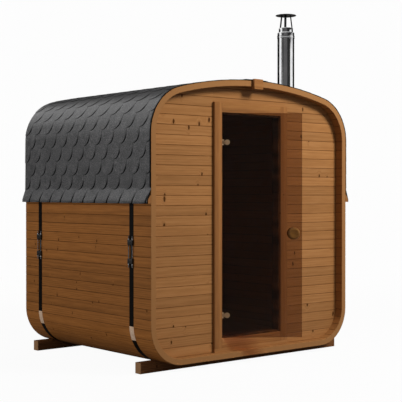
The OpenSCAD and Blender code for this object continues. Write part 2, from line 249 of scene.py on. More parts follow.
def cut_flue_hole(obj):
    """Takes the hole that the flue's collar fills out of a piece."""
    low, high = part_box("flue_collar")
    middle, r = (low + high) / 2, (high.x - low.x) / 2 + 0.3 * MM
    pile = Pile()
    pile.turn([(0, 1.5), (r, 1.5), (r, 2.6), (0, 2.6)],
              lambda x, y, h: (middle.x + x, middle.y + y, h), 96)
    mesh = new_mesh("flue_cutter", pile.points, pile.faces)
    with_normals_out(mesh)
    cutter = stand("flue_cutter", mesh)
    tool = obj.modifiers.new("cut", "BOOLEAN")
    tool.operation, tool.solver, tool.object = "DIFFERENCE", "EXACT", cutter
    shape = obj.evaluated_get(bpy.context.evaluated_depsgraph_get())
    mesh = bpy.data.meshes.new_from_object(shape)
    obj.modifiers.clear()
    obj.data = mesh
    bpy.data.objects.remove(cutter)


# ---- colours and nodes ----

def paint(code):
    """An sRGB hex colour as linear light."""
    parts = [int(code[k:k + 2], 16) / 255 for k in (1, 3, 5)]
    return tuple(c / 12.92 if c <= 0.04045 else ((c + 0.055) / 1.055) ** 2.4
                 for c in parts) + (1.0,)


def add(tree, kind, sockets=(), stops=(), **settings):
    """Adds one node with its settings and links, and gives its outputs.

    sockets come in the node's order, or by number or name. Each takes a value or an output.
    """
    made = tree.nodes.new("ShaderNode" + kind)
    for label, value in settings.items():
        setattr(made, label, value)
    for socket, value in sockets.items() if isinstance(sockets, dict) else enumerate(sockets):
        if isinstance(value, bpy.types.NodeSocket):
            tree.links.new(value, made.inputs[socket])
        else:
            made.inputs[socket].default_value = value
    for k, (position, colour) in enumerate(stops):
        ramp = made.color_ramp.elements
        if k >= len(ramp):
            ramp.new(1.0)
        ramp[k].position, ramp[k].color = position, paint(colour)
    return made.outputs


def new_material(name):
    made = bpy.data.materials.new(name)
    made.use_nodes = True
    made.node_tree.nodes.clear()
    return made, made.node_tree


def surface(tree, sockets):
    """The Principled surface and the material's end."""
    add(tree, "OutputMaterial", add(tree, "BsdfPrincipled", sockets)[:1])


def looks(tree):
    """A point's place in its board or sheet, its board's tone, its dark edge (also painted shade
    and shadow), its sawn face (also painted light).
    """
    place, look = [add(tree, "Attribute", attribute_name=label)["Vector"]
                   for label in ("grain", "look")]
    return [place, *add(tree, "SeparateXYZ", [look])]


def timber(name, pale, mid, dark, seam, knot="#43200e", knots=0.90, knot_size=0.12,
           ring=11 * MM, rough=(0.50, 0.64), board_shift=0.10, sheen=0.5, sawn=None):
    """Planed, oiled softwood: growth rings drawn out into streaks, darker knots, dark joints, and
    painted shade and light where a point's look marks them.

    ring is the growth ring's width on the face. The real 2 to 3 mm would vanish at this size,
    so it is drawn about four times as coarse.
    """
    made, tree = new_material(name)
    grain, tone, edge, pale_share = looks(tree)

    # Knots: cells of 50 by 100 mm, of which the share 1 - knots holds one, twice as high as
    # wide. knot_size is half its width in cells, so 0.12 draws it 12 mm wide.
    flat = add(tree, "VectorMath", (grain, (20.0, 10.0, 0.0)), operation="MULTIPLY")[0]
    wobble = add(tree, "TexNoise", {"Vector": grain, "Scale": 60.0, "Detail": 1.0})["Color"]
    bent = add(tree, "VectorMath", (wobble, (0.09, 0.09, 0.0), flat),
               operation="MULTIPLY_ADD")[0]
    cell = add(tree, "TexVoronoi", {"Vector": bent, "Scale": 1.0}, voronoi_dimensions="2D")
    chance, spread, _ = add(tree, "SeparateColor", [cell["Color"]])
    here = add(tree, "Math", (chance, knots), operation="GREATER_THAN")[0]
    size = add(tree, "MapRange", (spread, 0, 1, 0.8 * knot_size, 1.2 * knot_size))[0]
    reach = add(tree, "Math", (cell["Distance"], size), operation="DIVIDE")[0]
    eye = add(tree, "MapRange", (reach, 1.0, 0.65))[0]
    eye = add(tree, "Math", (eye, here), operation="MULTIPLY")[0]
    halo = add(tree, "MapRange", (reach, 3.6, 0.6), interpolation_type="SMOOTHSTEP")[0]
    halo = add(tree, "Math", (halo, here), operation="MULTIPLY")[0]

    # Growth rings: round the pith, which lies along the board, waving slowly and round the knots.
    wave = add(tree, "VectorMath", (grain, (1.6, 7.0, 7.0)), operation="MULTIPLY")[0]
    wave = add(tree, "TexNoise", {"Vector": wave, "Scale": 1.0, "Detail": 2.0})["Color"]
    shift = add(tree, "VectorMath", (wave, (0.0, 13 * MM, 13 * MM), grain),
                operation="MULTIPLY_ADD")[0]
    lift = add(tree, "Math", (halo, 12 * MM), operation="MULTIPLY")[0]
    lift = add(tree, "CombineXYZ", {2: lift})[0]
    shift = add(tree, "VectorMath", (shift, lift), operation="ADD")[0]
    rings = add(tree, "TexWave", {"Vector": shift, "Scale": 2 * math.pi / 20 / ring},
                wave_type="RINGS", rings_direction="X")["Fac"]
    # Fibres are 6 mm wide and 200 mm long, flecks 16 mm wide and 110 mm long.
    streaks = [rings]
    for stretch, detail, roughness in (((4.0, 190.0, 190.0), 3.0, 0.6),
                                       ((7.0, 75.0, 75.0), 2.0, 0.5)):
        place = add(tree, "VectorMath", (shift, stretch), operation="MULTIPLY")[0]
        streaks.append(add(tree, "TexNoise", {"Vector": place, "Scale": 1.0, "Detail": detail,
                                              "Roughness": roughness})["Fac"])
    mixed = 0.0
    for streak, share in zip(streaks, (0.20, 0.60, 0.40)):
        mixed = add(tree, "Math", (streak, share, mixed), operation="MULTIPLY_ADD")[0]
    body = add(tree, "ValToRGB", [mixed], stops=[(0.28, dark), (0.60, mid), (0.95, pale)])[0]

    # Each board has its own depth of colour.
    depth = add(tree, "MapRange", (tone, 0, 1, 1.0 - board_shift, 1.0 + board_shift))[0]
    body = add(tree, "VectorMath", {0: body, "Scale": depth}, operation="SCALE")[0]
    rim = add(tree, "Math", (halo, 0.22), operation="MULTIPLY")[0]
    # Old oil and dust darken the joints, more along some stretches than along others. The same mix
    # paints shade on pieces marked for it, such as the stop beads.
    patch = add(tree, "VectorMath", (grain, (9.0, 1.0, 1.0)), operation="MULTIPLY")[0]
    patch = add(tree, "TexNoise", {"Vector": patch, "Scale": 1.0, "Detail": 2.0})["Fac"]
    patch = add(tree, "MapRange", (patch, 0.30, 0.62, 0.55))[0]
    patch = add(tree, "Math", (patch, edge), operation="MULTIPLY")[0]
    # The knot, its rim, sawn ends that drink the oil differently (also painted light on the staves'
    # inner faces), and the joint (also painted shade).
    for share, colour in ((eye, knot), (rim, dark), (pale_share, sawn), (patch, seam)):
        if colour:
            body = add(tree, "Mix", {0: share, 6: body, 7: paint(colour)},
                       data_type="RGBA")[2]

    # Knots, dirty joints and painted shade don't shine.
    dull = add(tree, "Math", (eye, patch), operation="MAXIMUM")[0]
    shine = add(tree, "MapRange", (dull, 0, 1, sheen, 0.03))[0]
    gloss = add(tree, "MapRange", (streaks[1], 0, 1, *rough))[0]
    relief = add(tree, "Bump", {"Height": mixed, "Strength": 0.35, "Distance": 0.8 * MM})[0]
    surface(tree, {"Base Color": body, "Roughness": gloss, "IOR": 1.50,
                   "Specular IOR Level": shine, "Normal": relief})
    return made


STAVES = timber("oiled_spruce_staves", "#ad7037", "#945d2b", "#7a4c20", "#2e1707",
                sheen=0.14, sawn="#976a40", board_shift=0.14, knots=0.95)
BOARDS = timber("oiled_spruce_wall_boards", "#a8784a", "#9a6a3d", "#885c33", "#4a1c08",
                knot="#2c0d03", knots=0.955, knot_size=0.21, sheen=0.26)
# On the frame, the dark seam colour shows only on the stop beads, as painted shade.
TRIM = timber("planed_spruce_door_frame", "#a2713e", "#8f5e32", "#794d28", "#2a160b",
              knots=0.97, sheen=0.38)
RUNNER = timber("brown_impregnated_pine", "#93653a", "#6f4627", "#442813", "#140b07",
                rough=(0.66, 0.82), sheen=0.2, sawn="#9a7350")
# Turned birch, oiled: rings run round the pith, which lies across the knob. It has no knots.
KNOB = timber("oiled_birch_knob", "#946630", "#6d471c", "#412810", "#2a160b", knots=2.0,
              ring=8 * MM, rough=(0.34, 0.46), board_shift=0.0, sheen=0.3)


def bitumen_shingle():
    """Bitumen shingle with crushed slate on it: a grey, gritty, dull face, black cut edges, and
    painted shadow along the tabs' edges.
    """
    made, tree = new_material("slate_grit_bitumen_shingle")
    flat, tone, edge, _ = looks(tree)
    # Grit of 1 to 2 mm would vanish, so it is drawn as 7 mm specks; clouds of it are 60 mm.
    grit = add(tree, "TexNoise", {"Vector": flat, "Scale": 150.0, "Detail": 3.0,
                                  "Roughness": 0.75})["Fac"]
    cloud = add(tree, "TexNoise", {"Vector": flat, "Scale": 16.0, "Detail": 3.0})["Fac"]
    mixed = 0.0
    for speck, share in ((grit, 0.85), (cloud, 0.15)):
        mixed = add(tree, "Math", (speck, share, mixed), operation="MULTIPLY_ADD")[0]
    body = add(tree, "ValToRGB", [mixed],
               stops=[(0.34, "#282829"), (0.50, "#4c4c4d"), (0.66, "#858485")])[0]
    rust = add(tree, "TexNoise", {"Vector": flat, "Scale": 75.0})["Fac"]
    rust = add(tree, "MapRange", (rust, 0.66, 0.74, 0.0, 0.5))[0]
    body = add(tree, "Mix", {0: rust, 6: body, 7: paint("#4d3d34")}, data_type="RGBA")[2]
    depth = add(tree, "MapRange", (tone, 0, 1, 0.94, 1.06))[0]
    body = add(tree, "VectorMath", {0: body, "Scale": depth}, operation="SCALE")[0]
    # The edge mark is black, for the cut edges and for the painted shadow beside them.
    body = add(tree, "Mix", {0: edge, 6: body, 7: paint("#050505")}, data_type="RGBA")[2]
    relief = add(tree, "Bump", {"Height": mixed, "Strength": 0.3, "Distance": 1.0 * MM})[0]
    # The cut edges and the painted shadow don't shine.
    shine = add(tree, "MapRange", (edge, 0, 1, 0.6, 0.03))[0]
    surface(tree, {"Base Color": body, "Roughness": 0.33, "Specular IOR Level": shine,
                   "Normal": relief})
    return made


SHINGLE = bitumen_shingle()


def sheet_metal(name, pale, dark, rough, streak=(6.0, 6.0, 220.0), metallic=1.0):
    """Rolled or drawn metal: fine marks along one way, with a slow change of tone."""
    made, tree = new_material(name)
    place = add(tree, "TexCoord")["Object"]
    marks = add(tree, "VectorMath", (place, streak), operation="MULTIPLY")[0]
    marks = add(tree, "TexNoise", {"Vector": marks, "Scale": 1.0, "Detail": 3.0})["Fac"]
    slow = add(tree, "TexNoise", {"Vector": place, "Scale": 9.0})["Fac"]
    mixed = add(tree, "Math", (marks, 0.3, slow), operation="MULTIPLY_ADD")[0]
    body = add(tree, "ValToRGB", [mixed], stops=[(0.40, dark), (0.85, pale)])[0]
    gloss = add(tree, "MapRange", (marks, 0, 1, *rough))[0]
    surface(tree, {"Base Color": body, "Roughness": gloss, "Metallic": metallic})
    return made


FLUE = sheet_metal("polished_stainless_flue", "#f6f6f6", "#dcdddf", (0.09, 0.17),
                   (90.0, 90.0, 4.0))
CAP = sheet_metal("dull_stainless_cap", "#4c4d50", "#222325", (0.30, 0.45))
COLLAR = sheet_metal("spun_aluminium_collar", "#c9cbcd", "#a5a8ab", (0.32, 0.44))
ZINC = sheet_metal("zinc_plated_fittings", "#c3c6ca", "#84878c", (0.28, 0.42), (40, 40, 40))
# Painted reflection: the hinge is drawn warm beige and only partly metal, for the wood it mirrors.
HINGE = sheet_metal("satin_hinge_painted_reflection", "#e2bd94", "#b08a64", (0.26, 0.38), (30, 30, 160), 0.6)
BLACK = sheet_metal("black_painted_bars", "#1a1411", "#090605", (0.44, 0.56), (40, 40, 40), 0.0)


def hoop_finish():
    """Steel strap, black painted, with a painted reflection: a pale metal stretch at each lower
    corner stands for the white floor mirrored there.
    """
    made, tree = new_material("black_strap_painted_reflection")
    place = add(tree, "TexCoord")["Object"]
    height = add(tree, "SeparateXYZ", [place])["Z"]
    # Painted reflection: a band of heights on the lower corner is drawn as pale metal, where the
    # strap would mirror the floor.
    low = add(tree, "Math", (height, BASE_Z - 117 * MM), operation="GREATER_THAN")[0]
    high = add(tree, "Math", (height, BASE_Z - 11 * MM), operation="LESS_THAN")[0]
    pale_share = add(tree, "Math", (low, high), operation="MULTIPLY")[0]
    marks = add(tree, "TexNoise", {"Vector": place, "Scale": 70.0, "Detail": 3.0})["Fac"]
    black = add(tree, "ValToRGB", [marks], stops=[(0.35, "#040302"), (0.75, "#0b0705")])[0]
    steel = add(tree, "ValToRGB", [marks], stops=[(0.35, "#e6c3a4"), (0.70, "#f6dac1")])[0]
    body = add(tree, "Mix", {0: pale_share, 6: black, 7: steel}, data_type="RGBA")[2]
    gloss = add(tree, "MapRange", (marks, 0, 1, 0.46, 0.58))[0]
    reflection_metallic = add(tree, "Math", (pale_share, 0.35), operation="MULTIPLY")[0]
    surface(tree, {"Base Color": body, "Metallic": reflection_metallic, "Roughness": gloss,
                   "Specular IOR Level": 0.1})
    return made


HOOP = hoop_finish()


def bronze_glass():
    """Toughened glass, 8 mm, tinted bronze in the melt: deep brown, clear, with a faint mirror."""
    made, tree = new_material("bronze_tinted_glass")
    place = add(tree, "TexCoord")["Object"]
    drift = add(tree, "TexNoise", {"Vector": place, "Scale": 3.0})["Fac"]
    tint = add(tree, "ValToRGB", [drift], stops=[(0.3, "#ae9b8b"), (0.7, "#b4a090")])[0]
    body = add(tree, "BsdfPrincipled", {"Base Color": tint, "Roughness": 0.0, "IOR": 1.2,
                                        "Transmission Weight": 1.0})[0]
    # A lamp's light comes through it straight, so its shadow is a tint.
    shadow = add(tree, "LightPath")["Is Shadow Ray"]
    clear = add(tree, "BsdfTransparent", [paint("#d0b8a4")])[0]
    mixed = add(tree, "MixShader", (shadow, body, clear))
    add(tree, "OutputMaterial", mixed[:1])
    return made


GLASS = bronze_glass()

# ---- timber shapes ----

rng = random.Random(1871)


def new_board():
    """A board's own place in the tree, and its depth of colour."""
    pith = rng.uniform(70, 160) * MM
    turn = rng.uniform(-0.9, 0.9)
    start = Vector((rng.uniform(0, 40), pith * math.sin(turn), pith * math.cos(turn)))
    return start, rng.random()


def section(a, b, cuts, thick, inset=0.0, groove=GROOVE):
    """Round a board, along its face from a to b and back behind: (across, depth, dark seam)."""
    a, b = a + SEAM_GAP, b - SEAM_GAP
    seam = 0.0 if inset else 1.0
    inner = [a + groove + (b - a - 2 * groove) * k / cuts for k in range(cuts + 1)]
    face = [(v, inset, 0.0) for v in inner]
    face = [(a, groove + inset, seam)] + face + [(b, groove + inset, seam)]
    return face + [(v, thick - depth, dark) for v, depth, dark in reversed(face)]


def lay_board(pile, stations, a, b, thick, place, cuts):
    """A board from its stations of (along, inset), across from a to b, with V-grooved edges.

    place maps (along, across, depth below the face) to the part.
    """
    start, tone = new_board()
    middle = (a + b) / 2
    rings = []
    for along, inset in stations:
        rings.append([(place(along, v, depth), start + Vector((along, v - middle, depth)), seam)
                      for v, depth, seam in section(a, b, cuts, thick, inset)])
    # The staves' inner faces are drawn paler: painted light on the inside of the ring.
    pile.loft(rings, tone, end_grain=True, inside=0.6)


def stave_joints():
    """The joints round half of the tube, in whole boards from the shoulder's start both ways."""
    joints = [END_SIDE - BOARD * k for k in range(int(END_SIDE / BOARD) + 1)][::-1]
    if joints[0] > 1 * MM:
        joints.insert(0, 0.0)
    upper = END_SIDE + BOARD
    while upper < END_CROWN - 0.4 * BOARD:
        joints.append(upper)
        upper += BOARD
    return joints + [END_CROWN]


def build_staves():
    """The tube: each stave is a board of its own, mitred to the next and eased at its ends."""
    ease = 2.5 * MM
    stations = [(FRONT_Y, ease), (FRONT_Y + ease, 0.0), (BACK_Y - ease, 0.0), (BACK_Y, ease)]
    names = ((END_FLOOR, "floor"), (END_BASE, "base_corner"), (END_SIDE, "side"),
             (END_SHOULDER, "shoulder"), (END_CROWN, "crown"))
    piles = {}
    joints = stave_joints()
    for side, word in ((-1, "left"), (1, "right")):
        for a, b in zip(joints, joints[1:]):
            stretch = next(name for end, name in names if (a + b) / 2 < end)
            key = stretch if stretch == "floor" else stretch + "_" + word
            flat = b < END_FLOOR + 1e-6 or a > END_BASE - 1e-6 and b <= END_SIDE + 1e-6
            lay_board(piles.setdefault(key, Pile()), stations, a, b, STAVE_T,
                      lambda y, s, depth: on_tube(s, y, -depth, side), 1 if flat else 6)
    for key, pile in piles.items():
        node = key.replace("side_", "side_staves_").replace("floor", "floor_staves")
        obj = pile.piece(key + "_boards", STAVES, "stave_wood", node)
        if key in ("shoulder_right", "crown_right"):
            cut_flue_hole(obj)


def wall_run(name, node, y0, thick, left, right, low, high, groove=GROOVE):
    """Wall boards from low to high between the edges left(z) and right(z), face at y0."""
    pile = Pile()
    k = math.floor((low - FLOOR_Z) / BOARD + 1e-6)
    while FLOOR_Z + k * BOARD < high - 2 * MM:
        a, b = max(FLOOR_Z + k * BOARD, low), min(FLOOR_Z + (k + 1) * BOARD, high)
        k += 1
        if b - a < 9 * MM:
            continue
        straight = (abs(left(a) - left(b)) + abs(right(a) - right(b))) < 0.1 * MM
        start, tone = new_board()
        round_it = section(a, b, 1 if straight else 10, abs(thick), groove=groove)
        pile.loft([[((edge(v), y0 + math.copysign(depth, thick), v),
                     start + Vector((edge(v), v - (a + b) / 2, depth)), seam)
                    for v, depth, seam in round_it] for edge in (left, right)], tone)
    pile.piece(name, BOARDS, "wall_wood", node)


def build_walls():
    """Both end walls of level boards, fitted round the door frame and into the tube."""
    low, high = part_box("front_wall_left")
    y0, thick = low.y, high.y - low.y
    edge_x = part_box("front_wall_right")[0].x
    top = RIDGE_Z - STAVE_T - 1 * MM
    side_top = CROWN_Z + math.sqrt((CROWN_R - STAVE_T) ** 2 - edge_x ** 2) - 1 * MM

    def rim(z):
        return inner_half_width(z) - 0.3 * MM

    wall_run("front_boards_left", "front_wall_left", y0, thick,
             lambda z: -rim(z), lambda z: -edge_x, FLOOR_Z, side_top)
    wall_run("front_boards_right", "front_wall_right", y0, thick,
             lambda z: edge_x, rim, FLOOR_Z, side_top)
    wall_run("boards_over_door", "front_wall_head", y0, thick,
             lambda z: -min(edge_x, rim(z)), lambda z: min(edge_x, rim(z)),
             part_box("front_wall_head")[0].z, top)
    # The board under the sill lies just behind its face, with hardly a groove.
    sill_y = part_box("door_sill")[0].y + 0.5 * MM
    wall_run("board_under_sill", "front_wall_foot", sill_y, y0 + thick - sill_y,
             lambda z: -edge_x, lambda z: edge_x, FLOOR_Z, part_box("front_wall_foot")[1].z,
             0.3 * MM)
    low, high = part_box("back_wall")
    wall_run("back_boards", "back_wall", high.y, low.y - high.y,
             lambda z: -rim(z), rim, FLOOR_Z, top)


def lay_bar(pile, length, width, thick, r, place, tone=None, ends=None, painted_shade=0.0):
    """A straight planed member with eased edges and ends. place maps (along, across, depth)."""
    start, own = new_board()
    ends = r if ends is None else ends
    soft = r * (1 - math.sqrt(0.5))
    rings = []
    for along, inset in ((0.0, ends), (ends, 0.0), (length - ends, 0.0), (length, ends)):
        w, deep = width - 2 * inset, thick - 2 * inset
        face = [(0.0, r), (soft, soft), (r, 0.0), (w - r, 0.0), (w - soft, soft), (w, r)]
        face += [(v, deep - d) for v, d in reversed(face)]
        rings.append([(place(along, v + inset, d + inset),
                       start + Vector((along, v - width / 2, d)), painted_shade) for v, d in face])
    pile.loft(rings, own if tone is None else tone)


def build_door_frame():
    """Posts over the full height, head and sill between them, each with a stop bead darkened by
    painted shade.
    """
    ease, bead, bead_ease, lip, tuck = 0.8 * MM, 77 * MM, 1.5 * MM, 12 * MM, 1 * MM
    sill_low, sill_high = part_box("door_sill")
    head_low, head_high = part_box("door_head")
    inner = sill_high.x
    for side, word in ((-1, "left"), (1, "right")):
        low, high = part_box("door_post_" + word)
        outer, rebate = max(abs(low.x), abs(high.x)), min(abs(low.x), abs(high.x))
        sill_top = low.z + (sill_high.z - sill_low.z)
        pile = Pile()
        lay_bar(pile, high.z - low.z, outer - inner, high.y - low.y, ease,
                lambda l, a, d: (side * (inner + a), low.y + d, low.z + l), tone=0.45)
        # The stop bead is drawn dark: painted shade for the shaded rebate behind the glass.
        lay_bar(pile, head_low.z - sill_top + 2 * lip, inner - rebate + tuck, bead, bead_ease,
                lambda l, a, d: (side * (rebate + a), high.y - bead + d, sill_top - lip + l),
                painted_shade=0.9)
        pile.piece("frame_post_" + word, TRIM, "trim_wood", "door_post_" + word)
    # Painted light and shade: the sill's board is drawn lighter and the head's darker than the
    # posts, for how each is lit.
    for word, low, high, up, tone in (("sill", sill_low, sill_high, 1, 0.95),
                                      ("head", head_low, head_high, -1, 0.15)):
        face = high.z - low.z - lip
        edge = low.z if up > 0 else high.z
        pile = Pile()
        lay_bar(pile, high.x - low.x, face, high.y - low.y, ease,
                lambda l, a, d: (low.x + l, low.y + d, edge + up * a), tone, 0.4 * MM)
        # Its stop bead is drawn dark as well: painted shade.
        lay_bar(pile, high.x - low.x - 2 * lip, lip + tuck, bead, bead_ease,
                lambda l, a, d: (low.x + lip + l, high.y - bead + d, edge + up * (face - tuck + a)),
                ends=0.4 * MM, painted_shade=0.9)
        pile.piece("frame_" + word, TRIM, "trim_wood", "door_" + word)


def build_runners():
    """Impregnated runners, cut to the tube's round corners."""
    ease = 2.5 * MM
    for end in ("front", "back"):
        low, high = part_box("runner_" + end)
        start, tone = new_board()
        seat = END_FLOOR
        while outline(seat)[1] < high.z:
            seat += 2 * MM
        stops = [0.0] + [END_FLOOR + (seat - END_FLOOR) * k / 14 for k in range(15)]
        half = [outline(s)[:2] for s in stops]
        half += [(high.x - 2 * ease, high.z), (high.x, high.z)]
        top = [(-x, z) for x, z in reversed(half)] + half[1:]
        rings = []
        for y, inset in ((low.y, ease), (low.y + ease, 0.0), (high.y - ease, 0.0), (high.y, ease)):
            upper, lower = [], []
            for x, z in top:
                px = max(low.x + inset, min(high.x - inset, x))
                upper.append(((px, y, z - inset), start + Vector((px, z, y)), 0.0))
                lower.append(((px, y, low.z + inset), start + Vector((px, 0, y)), 0.0))
            rings.append(upper + lower[::-1])
        pile = Pile()
        pile.loft(rings, tone)
        pile.look = [(tone, 0, 1 if min(x - low.x, high.x - x) < 1.5 * ease else 0)
                     for x, y, z in pile.points]
        pile.piece("runner_beam_" + end, RUNNER, "runner_wood", "runner_" + end)


def build_roof_trim():
    """Eave battens under the shingles' skirt, and the two blocks at the ridge."""
    for side, word in ((-1, "left"), (1, "right")):
        low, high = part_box("eave_batten_" + word)
        out = high.x - low.x
        start, tone = new_board()
        shape = [(0.0, 0.0), (out - 2 * MM, 0.0), (out, 2 * MM), (out, 28 * MM),
                 (out - 2 * MM, 31 * MM), (0.0, high.z - low.z)]
        pile = Pile()
        pile.loft([[((side * (HALF_W + a), y, low.z + h), start + Vector((y, h, a)), 0.0)
                    for a, h in shape] for y in (low.y, high.y)], tone)
        pile.piece("batten_" + word, TRIM, "trim_wood", "eave_batten_" + word)
    for end in ("front", "back"):
        low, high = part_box("ridge_block_" + end)
        size = high - low
        pile = Pile()
        lay_bar(pile, size.x, size.z, size.y, 3 * MM,
                lambda l, a, d: (low.x + l, low.y + d, low.z + a), tone=0.95)
        pile.piece("ridge_cap_block_" + end, TRIM, "trim_wood", "ridge_block_" + end)


# ---- roof covering ----

SKIRT_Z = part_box("shingles_right")[0].z
BATTEN_LOW, BATTEN_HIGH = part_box("eave_batten_right")
FLARE_Z = BATTEN_LOW.z + 108 * MM
FLARE_S = END_BASE + FLARE_Z - BASE_Z
EXPOSED = 115 * MM
TAB = 162.6 * MM
SLIT = 3 * MM
SHEET = 1.8 * MM
OVERHANG = 2 * MM
# The line that the skirt lies on: its places in x and z from the eave up, and the ways out.
SKIRT = [(BATTEN_HIGH.x, SKIRT_Z), (BATTEN_HIGH.x, SKIRT_Z + 22 * MM), (HALF_W, FLARE_Z)]
SKIRT_OUT = [(1.0, 0.0), (0.985, 0.17), (1.0, 0.0)]
LEGS = [math.dist(SKIRT[0], SKIRT[1]), math.dist(SKIRT[1], SKIRT[2])]


def on_roof(t, y, out, side):
    """The place t up the roof from where it leaves the wall, out from the line it lies on."""
    if t >= 0:
        return on_tube(min(FLARE_S + t, END_CROWN), y, out, side)
    t += LEGS[1]
    leg = 1 if t >= 0 else 0
    part = t / LEGS[1] if leg else max((t + LEGS[0]) / LEGS[0], 0.0)
    (x0, z0), (x1, z1) = SKIRT[leg:leg + 2]
    (nx0, nz0), (nx1, nz1) = SKIRT_OUT[leg:leg + 2]
    x, z = x0 + (x1 - x0) * part, z0 + (z1 - z0) * part
    nx, nz = nx0 + (nx1 - nx0) * part, nz0 + (nz1 - nz0) * part
    return Vector((side * (x + nx * out), y, z + nz * out))


def near_flue(low, reach, y0, y1, side):
    """True where a tab comes near the flue's hole."""
    low_c, high_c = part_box("flue_collar")
    middle, hole = (low_c + high_c) / 2, (high_c.x - low_c.x) / 2 + 5 * MM
    if side < 0 or y1 < middle.y - hole or y0 > middle.y + hole:
        return False
    return (on_roof(low, 0, 0, side).x > middle.x - hole
            and on_roof(low + reach, 0, 0, side).x < middle.x + hole)


def tab_levels(reach):
    """Heights up a tab at which its outline is drawn, close together at its round foot."""
    levels = [k * MM for k in (0, 1, 3.5, 8, 15, 24, 35, 48, 62, 78, 94)]
    levels += [EXPOSED - 4 * MM, EXPOSED + 12 * MM]
    while levels[-1] < reach - 30 * MM:
        levels.append(min(levels[-1] + 40 * MM, reach))
    return levels + [reach]


def lay_tab(pile, low, reach, y0, y1, side, course, tone, lift):
    """One shingle tab from low up to low + reach, between y0 and y1, with round lower corners."""
    round_r, top_low, top_high, _, slant = course
    ends = (FRONT_Y - OVERHANG, BACK_Y + OVERHANG)
    shape = []
    for v in tab_levels(reach):
        if v > reach or (shape and v < shape[-1][0] + 0.5 * MM):
            continue
        slit = SLIT / 2 if v < EXPOSED else 0.3 * MM
        inset = round_r - math.sqrt(round_r ** 2 - (round_r - v) ** 2) if v < round_r else 0.0
        back = slant * max(1 - v / reach, 0)
        left = max(y0 + slit + inset + back, ends[0])
        right = min(y1 - slit - inset + back, ends[1])
        if right - left > 14 * MM:
            shape.append((v, left, right))
    if len(shape) < 3:
        return
    # Painted shadow: the tab's lower edge and, near its foot, its front edge are drawn dark, for
    # the black bitumen edge and the shadow the tab casts beside it.
    painted_shadow_fade = (1.0, 1.0, 0.9, 0.5, 0.2, 0.05, 0.0)
    # rim is the width of that painted shadow on the tab's face.
    rim = 20 * MM
    seed = Vector((rng.uniform(0, 9), rng.uniform(0, 9), rng.uniform(0, 9)))
    top, under = [], []
    for v, left, right in shape:
        out = top_low + (top_high - top_low) * v / reach + lift * max(1 - v / (70 * MM), 0) ** 2
        width = right - left
        front = min(1.0, max(0.03, 1 - (v - 44 * MM) / (50 * MM)))
        if left <= ends[0]:
            front = 1.0
        row = []
        for k, spot in enumerate((0.0, 0.4 * rim / width, rim / width, 0.3, 0.5, 0.75, 1.0)):
            edge = max(painted_shadow_fade[k] * max(0.0, 1 - v / (11 * MM)), front if k < 2 else 0.0)
            row.append((left + width * spot, edge))
        top.append([pile.point(on_roof(low + v, y, out, side), Vector((y, v, 0)) + seed,
                               (tone, edge, 0)) for y, edge in row])
        out = max(out - SHEET, 0.1 * MM)
        under.append([pile.point(on_roof(low + v, y, out, side), Vector((y, v, 0.01)) + seed,
                                 (tone, 1.0, 0)) for y, edge in row])
    pile.sheet(top, under)


def build_shingles():
    """Beaver-tail tabs in courses from the eave to the ridge, each half a tab along."""
    phases = (52.5 * MM, 133.0 * MM)
    foot = -sum(LEGS)
    total = END_CROWN - FLARE_S
    for side, word in ((-1, "left"), (1, "right")):
        pile = Pile()
        # Each course: where it starts, its reach and phase, then its corners' radius, its height
        # at the foot and at the top, how far tabs curl up, and how far they lean. First come
        # the starter strip under the skirt and the skirt with its straight slits.
        courses = [(foot, -foot + 40 * MM, 1, (0.0, 2.0 * MM, 1.2 * MM, 0.0, 0.0)),
                   (foot, -foot + 122 * MM, 1, (0.0, 4.0 * MM, 1.9 * MM, 0.3 * MM, 50 * MM))]
        low = -6 * MM
        while low < total - 30 * MM:
            courses.append((low, min(2.02 * EXPOSED, total - low), len(courses) % 2,
                            (76 * MM, 5.2 * MM, 2.3 * MM, 0.6 * MM, 0.0)))
            low += EXPOSED
        for low, reach, phase, course in courses:
            start = FRONT_Y + phases[phase] - TAB
            for k in range(int((BACK_Y - FRONT_Y) / TAB) + 3):
                y0, y1 = start + k * TAB, start + (k + 1) * TAB
                holed = near_flue(low, reach, y0, y1, side)
                target = Pile() if holed else pile
                lay_tab(target, low, reach, y0, y1, side, course, rng.random(),
                        course[3] * rng.random())
                if holed and target.faces:
                    tab = stand("tab", target.mesh("tab"))
                    cut_flue_hole(tab)
                    pile.take(tab.data)
                    bpy.data.objects.remove(tab)
        pile.piece("shingle_courses_" + word, SHINGLE, "shingle", "shingles_" + word)
    build_ridge_caps()


def build_ridge_caps():
    """Caps bent over the ridge, each lying on the back end of the one in front."""
    length, show, half = 215 * MM, 147 * MM, 122 * MM
    pile = Pile()
    for n in range(math.ceil((BACK_Y - FRONT_Y + 2 * OVERHANG) / show)):
        y0 = FRONT_Y - OVERHANG + n * show
        y1 = min(y0 + length, BACK_Y + OVERHANG)
        if y1 - y0 < 70 * MM:
            continue
        tone = rng.random()
        seed = Vector((rng.uniform(0, 9), rng.uniform(0, 9), 0))
        lines = ((y0, 9.6 * MM), (y0 + 6 * MM, 9.5 * MM), (y0 + 60 * MM, 8.6 * MM),
                 (y1, 7.2 * MM))
        grids = []
        for depth in (0.0, SHEET):
            grids.append([])
            for y, out in lines:
                row = []
                for spot in (-1, -0.95, -0.5, 0, 0.5, 0.95, 1):
                    place = on_tube(END_CROWN - abs(spot) * half, y, out - depth,
                                    1 if spot >= 0 else -1)
                    edge = 1.0 if depth or abs(spot) == 1 or y == y0 else 0.0
                    row.append(pile.point(place, Vector((y, spot * half, 0)) + seed,
                                          (tone, edge, 0)))
                grids[-1].append(row)
        pile.sheet(*grids)
    pile.piece("ridge_shingle_caps", SHINGLE, "shingle")


# ---- hoops and tensioners ----

